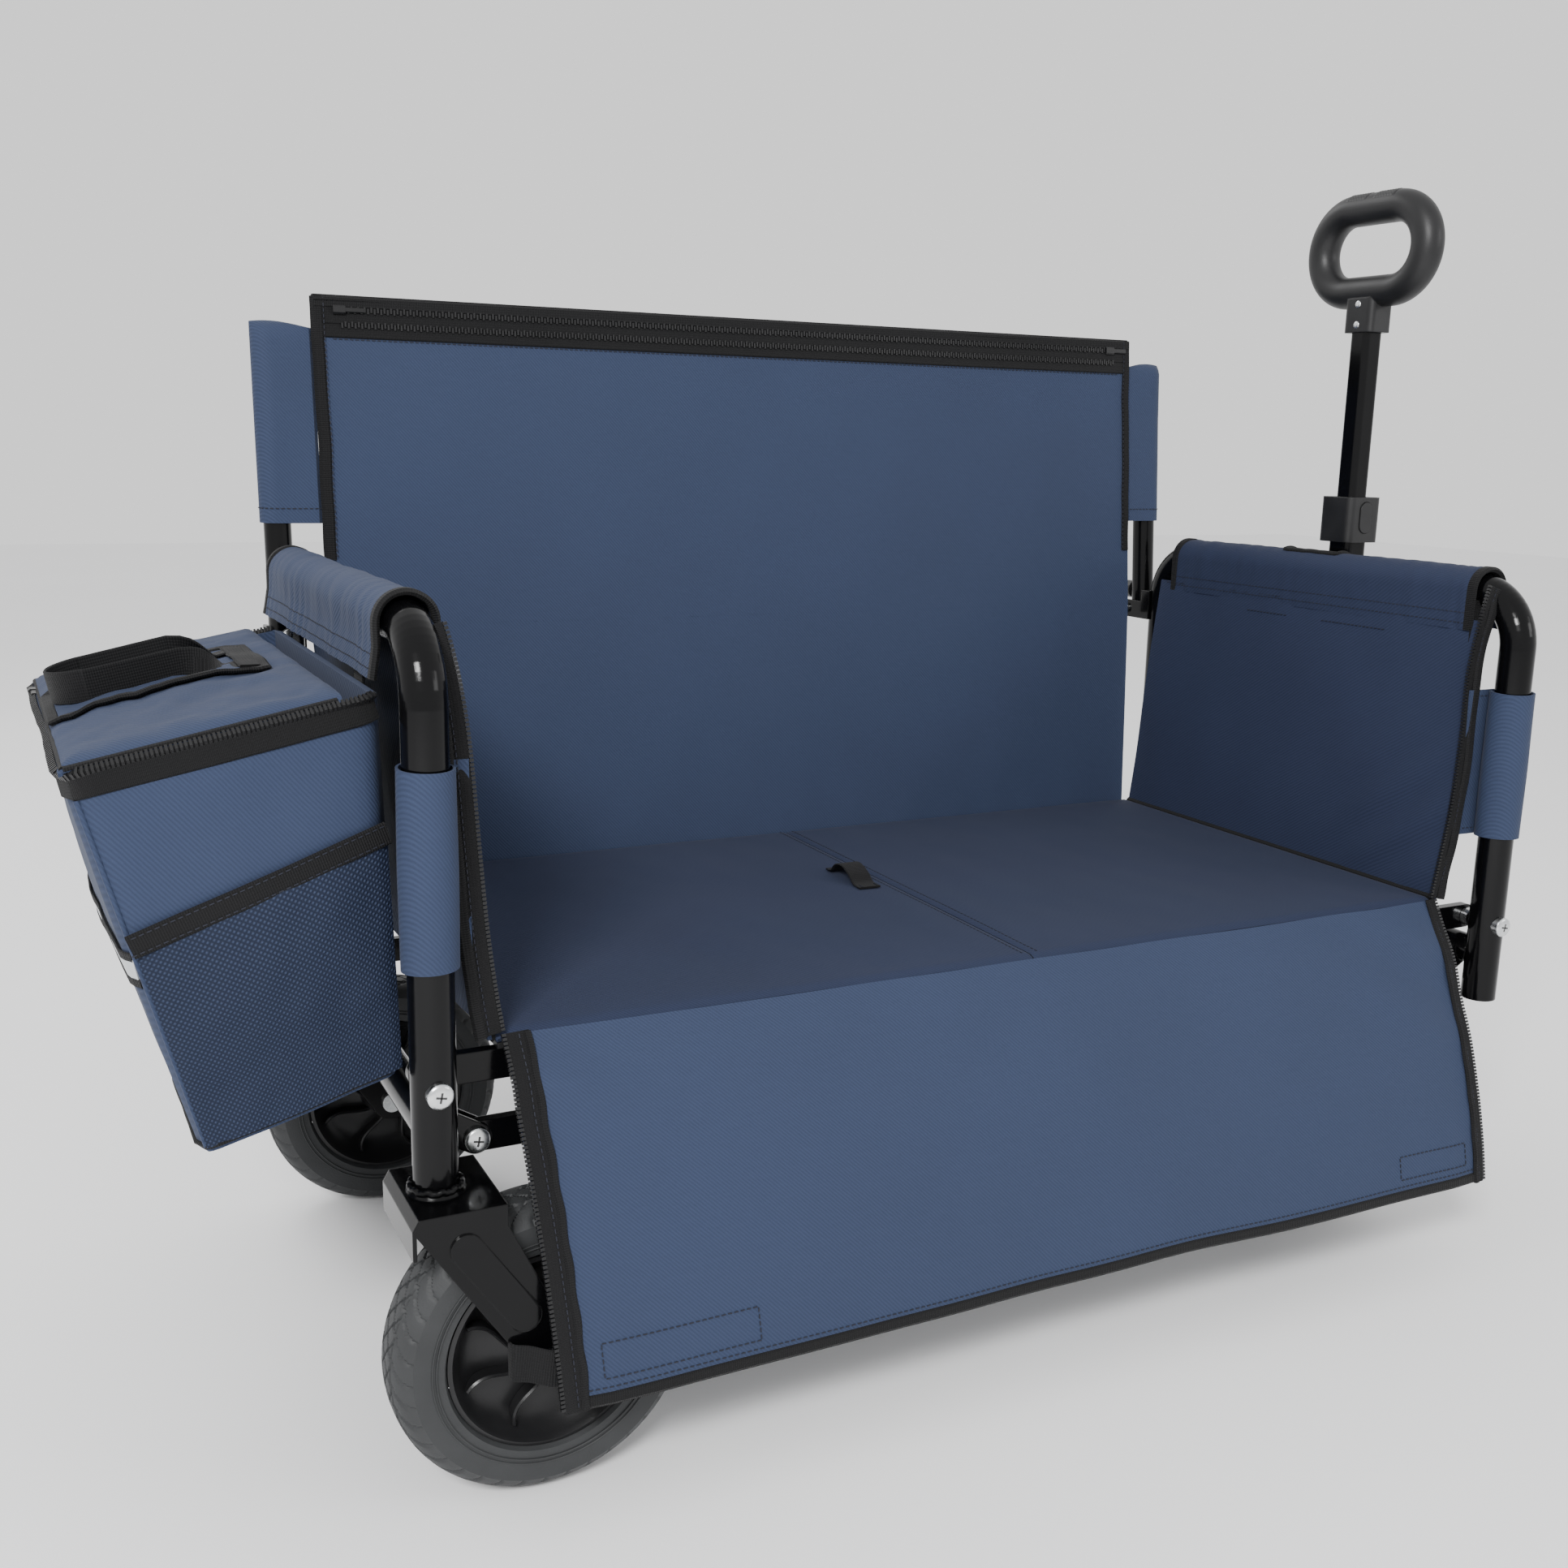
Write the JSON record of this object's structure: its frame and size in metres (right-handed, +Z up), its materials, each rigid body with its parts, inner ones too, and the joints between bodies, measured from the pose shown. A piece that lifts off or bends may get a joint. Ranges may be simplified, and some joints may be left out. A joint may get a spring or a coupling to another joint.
{
  "type": "beach cart",
  "caption": "Folding beach cart opened as a bench seat, with fabric back, arms and front skirt, a zipped side bag, a telescopic pull handle and rubber-tyred wheels.",
  "frame": {"origin": "on the ground, at the centre of the footprint box of the opened cart", "axes": "+X along the seat towards the handle, +Y to the back rest, +Z up"},
  "size_m": [1.1419, 0.5716, 0.894],
  "materials": {
    "frame_paint": "gloss black powder coat",
    "cloth": "woven polyester, slate navy, matt",
    "webbing": "black ribbed webbing and binding",
    "board": "black board",
    "tyre": "moulded tread, matt",
    "plastic": "fine satin moulded plastic",
    "zinc": "bright zinc plate"
  },
  "bodies": {
    "left_frame": {"left_end_tube": "frame_paint", "left_cross_bar": "frame_paint", "left_front_fork": "frame_paint", "left_rear_fork": "frame_paint", "left_axles": "zinc", "left_bolts": "zinc", "left_hinge_bracket": "frame_paint", "left_arm_sleeve": "cloth", "left_wall": "cloth", "left_post_tab": "cloth", "back_panel_lower": "cloth", "bag_body": "cloth", "bag_straps": "webbing"},
    "bag_lid": {"bag_lid": "cloth", "carry_strap": "webbing"},
    "left_links": {"left_upper_links": "frame_paint", "left_seat_board": "board", "left_seat_pad": "cloth", "pull_strap": "webbing"},
    "hub": {"hub_plates": "frame_paint", "hub_cross_tube": "frame_paint", "hub_pins": "zinc"},
    "left_lower_links": {"left_lower_links": "frame_paint"},
    "right_lower_links": {"right_lower_links": "frame_paint"},
    "right_links": {"right_upper_links": "frame_paint", "right_seat_board": "board", "right_seat_pad": "cloth"},
    "right_frame": {"right_end_tube": "frame_paint", "right_cross_bar": "frame_paint", "caster_mounts": "frame_paint", "right_bolts": "zinc", "right_hinge_bracket": "frame_paint", "right_arm_sleeve": "cloth", "right_wall": "cloth", "right_post_tab": "cloth", "handle_bracket": "frame_paint"},
    "front_caster": {"front_caster_fork": "frame_paint"},
    "rear_caster": {"rear_caster_fork": "frame_paint"},
    "left_front_wheel": {"left_front_tyre": "tyre", "left_front_rim": "plastic"},
    "left_rear_wheel": {"left_rear_tyre": "tyre", "left_rear_rim": "plastic"},
    "right_front_wheel": {"right_front_tyre": "tyre", "right_front_rim": "plastic"},
    "right_rear_wheel": {"right_rear_tyre": "tyre", "right_rear_rim": "plastic"},
    "back_left": {"left_back_post": "frame_paint", "left_wing": "cloth", "back_panel_upper": "cloth"},
    "back_right": {"right_back_post": "frame_paint", "right_wing": "cloth"},
    "left_knob": {"left_lock_knob": "plastic"},
    "right_knob": {"right_lock_knob": "plastic"},
    "skirt": {"front_skirt": "cloth"},
    "handle": {"handle_outer_tube": "frame_paint", "handle_collar": "plastic"},
    "handle_lock": {"handle_button": "plastic"},
    "handle_slider": {"handle_inner_tube": "frame_paint", "handle_grip": "plastic"}
  },
  "joints": [
    {"name": "fold", "type": "hinge", "parent": "left_frame", "child": "left_links", "pos_m": [-0.37725, 0, 0.279], "axis": [0, -1, 0], "range_deg": [0, 72], "deforming": ["front_skirt", "back_panel_lower", "back_panel_upper", "left_wall", "right_wall"]},
    {"name": "hub_level", "type": "hinge", "parent": "left_links", "child": "hub", "pos_m": [0.02775, 0, 0.279], "axis": [0, -1, 0], "range_deg": [-72.5, 0.5]},
    {"name": "left_lower_pivot", "type": "hinge", "parent": "left_frame", "child": "left_lower_links", "pos_m": [-0.34625, 0, 0.2325], "axis": [0, -1, 0], "range_deg": [-0.5, 72.5]},
    {"name": "right_lower_pivot", "type": "hinge", "parent": "hub", "child": "right_lower_links", "pos_m": [0.08675, 0, 0.2325], "axis": [0, -1, 0], "range_deg": [-72.5, 0.5]},
    {"name": "right_upper_pivot", "type": "hinge", "parent": "hub", "child": "right_links", "pos_m": [0.11775, 0, 0.279], "axis": [0, -1, 0], "range_deg": [-72.5, 0.5]},
    {"name": "right_end_pivot", "type": "hinge", "parent": "right_links", "child": "right_frame", "pos_m": [0.52275, 0, 0.279], "axis": [0, -1, 0], "range_deg": [-0.5, 72.5]},
    {"name": "front_caster_swivel", "type": "hinge", "parent": "right_frame", "child": "front_caster", "pos_m": [0.45075, -0.145, 0.19], "axis": [0, 0, 1], "continuous": true},
    {"name": "left_front_wheel_spin", "type": "hinge", "parent": "left_frame", "child": "left_front_wheel", "pos_m": [-0.31225, -0.223, 0.1], "axis": [0, 1, 0], "continuous": true},
    {"name": "right_front_wheel_spin", "type": "hinge", "parent": "front_caster", "child": "right_front_wheel", "pos_m": [0.42075, -0.145, 0.087], "axis": [0, 1, 0], "continuous": true},
    {"name": "rear_caster_swivel", "type": "hinge", "parent": "right_frame", "child": "rear_caster", "pos_m": [0.45075, 0.145, 0.19], "axis": [0, 0, 1], "continuous": true},
    {"name": "left_rear_wheel_spin", "type": "hinge", "parent": "left_frame", "child": "left_rear_wheel", "pos_m": [-0.31225, 0.223, 0.1], "axis": [0, 1, 0], "continuous": true},
    {"name": "right_rear_wheel_spin", "type": "hinge", "parent": "rear_caster", "child": "right_rear_wheel", "pos_m": [0.42075, 0.145, 0.087], "axis": [0, 1, 0], "continuous": true},
    {"name": "back_rest_fold", "type": "hinge", "parent": "left_frame", "child": "back_left", "pos_m": [-0.37475, 0.264, 0.497], "axis": [-1, 0, 0], "range_deg": [0, 172]},
    {"name": "back_rest_fold_right", "type": "hinge", "parent": "right_frame", "child": "back_right", "pos_m": [0.52025, 0.264, 0.497], "axis": [-1, 0, 0], "range_deg": [-0.5, 172.5]},
    {"name": "left_knob_pull", "type": "slide", "parent": "back_left", "child": "left_knob", "axis": [0, 1, 0], "range_m": [0, 0.008], "stiffness_N_per_m": 600, "springref_m": -0.002},
    {"name": "right_knob_pull", "type": "slide", "parent": "back_right", "child": "right_knob", "axis": [0, 1, 0], "range_m": [0, 0.008], "stiffness_N_per_m": 600, "springref_m": -0.002},
    {"name": "skirt_lift", "type": "hinge", "parent": "left_frame", "child": "skirt", "pos_m": [0.07275, -0.2055, 0.3], "axis": [-1, 0, 0], "range_deg": [0, 160]},
    {"name": "bag_lid_open", "type": "hinge", "parent": "left_frame", "child": "bag_lid", "pos_m": [-0.4173, 0, 0.51055], "axis": [0, 1, 0], "range_deg": [0, 80]},
    {"name": "handle_tilt", "type": "hinge", "parent": "right_frame", "child": "handle", "pos_m": [0.55075, 0, 0.238], "axis": [0, 1, 0], "range_deg": [0, 100]},
    {"name": "handle_slide", "type": "slide", "parent": "handle", "child": "handle_slider", "axis": [0, 0, 1], "range_m": [-0.14, 0.145]},
    {"name": "handle_button_press", "type": "slide", "parent": "handle", "child": "handle_lock", "axis": [0, 1, 0], "range_m": [0, 0.0025], "stiffness_N_per_m": 800, "springref_m": -0.001}
  ],
  "couplings": [
    {"joint": "hub_level", "follows": "fold", "ratio": -1},
    {"joint": "left_lower_pivot", "follows": "fold", "ratio": 1},
    {"joint": "right_lower_pivot", "follows": "fold", "ratio": -1},
    {"joint": "right_upper_pivot", "follows": "fold", "ratio": -1},
    {"joint": "right_end_pivot", "follows": "fold", "ratio": 1},
    {"joint": "back_rest_fold_right", "follows": "back_rest_fold", "ratio": 1}
  ]
}
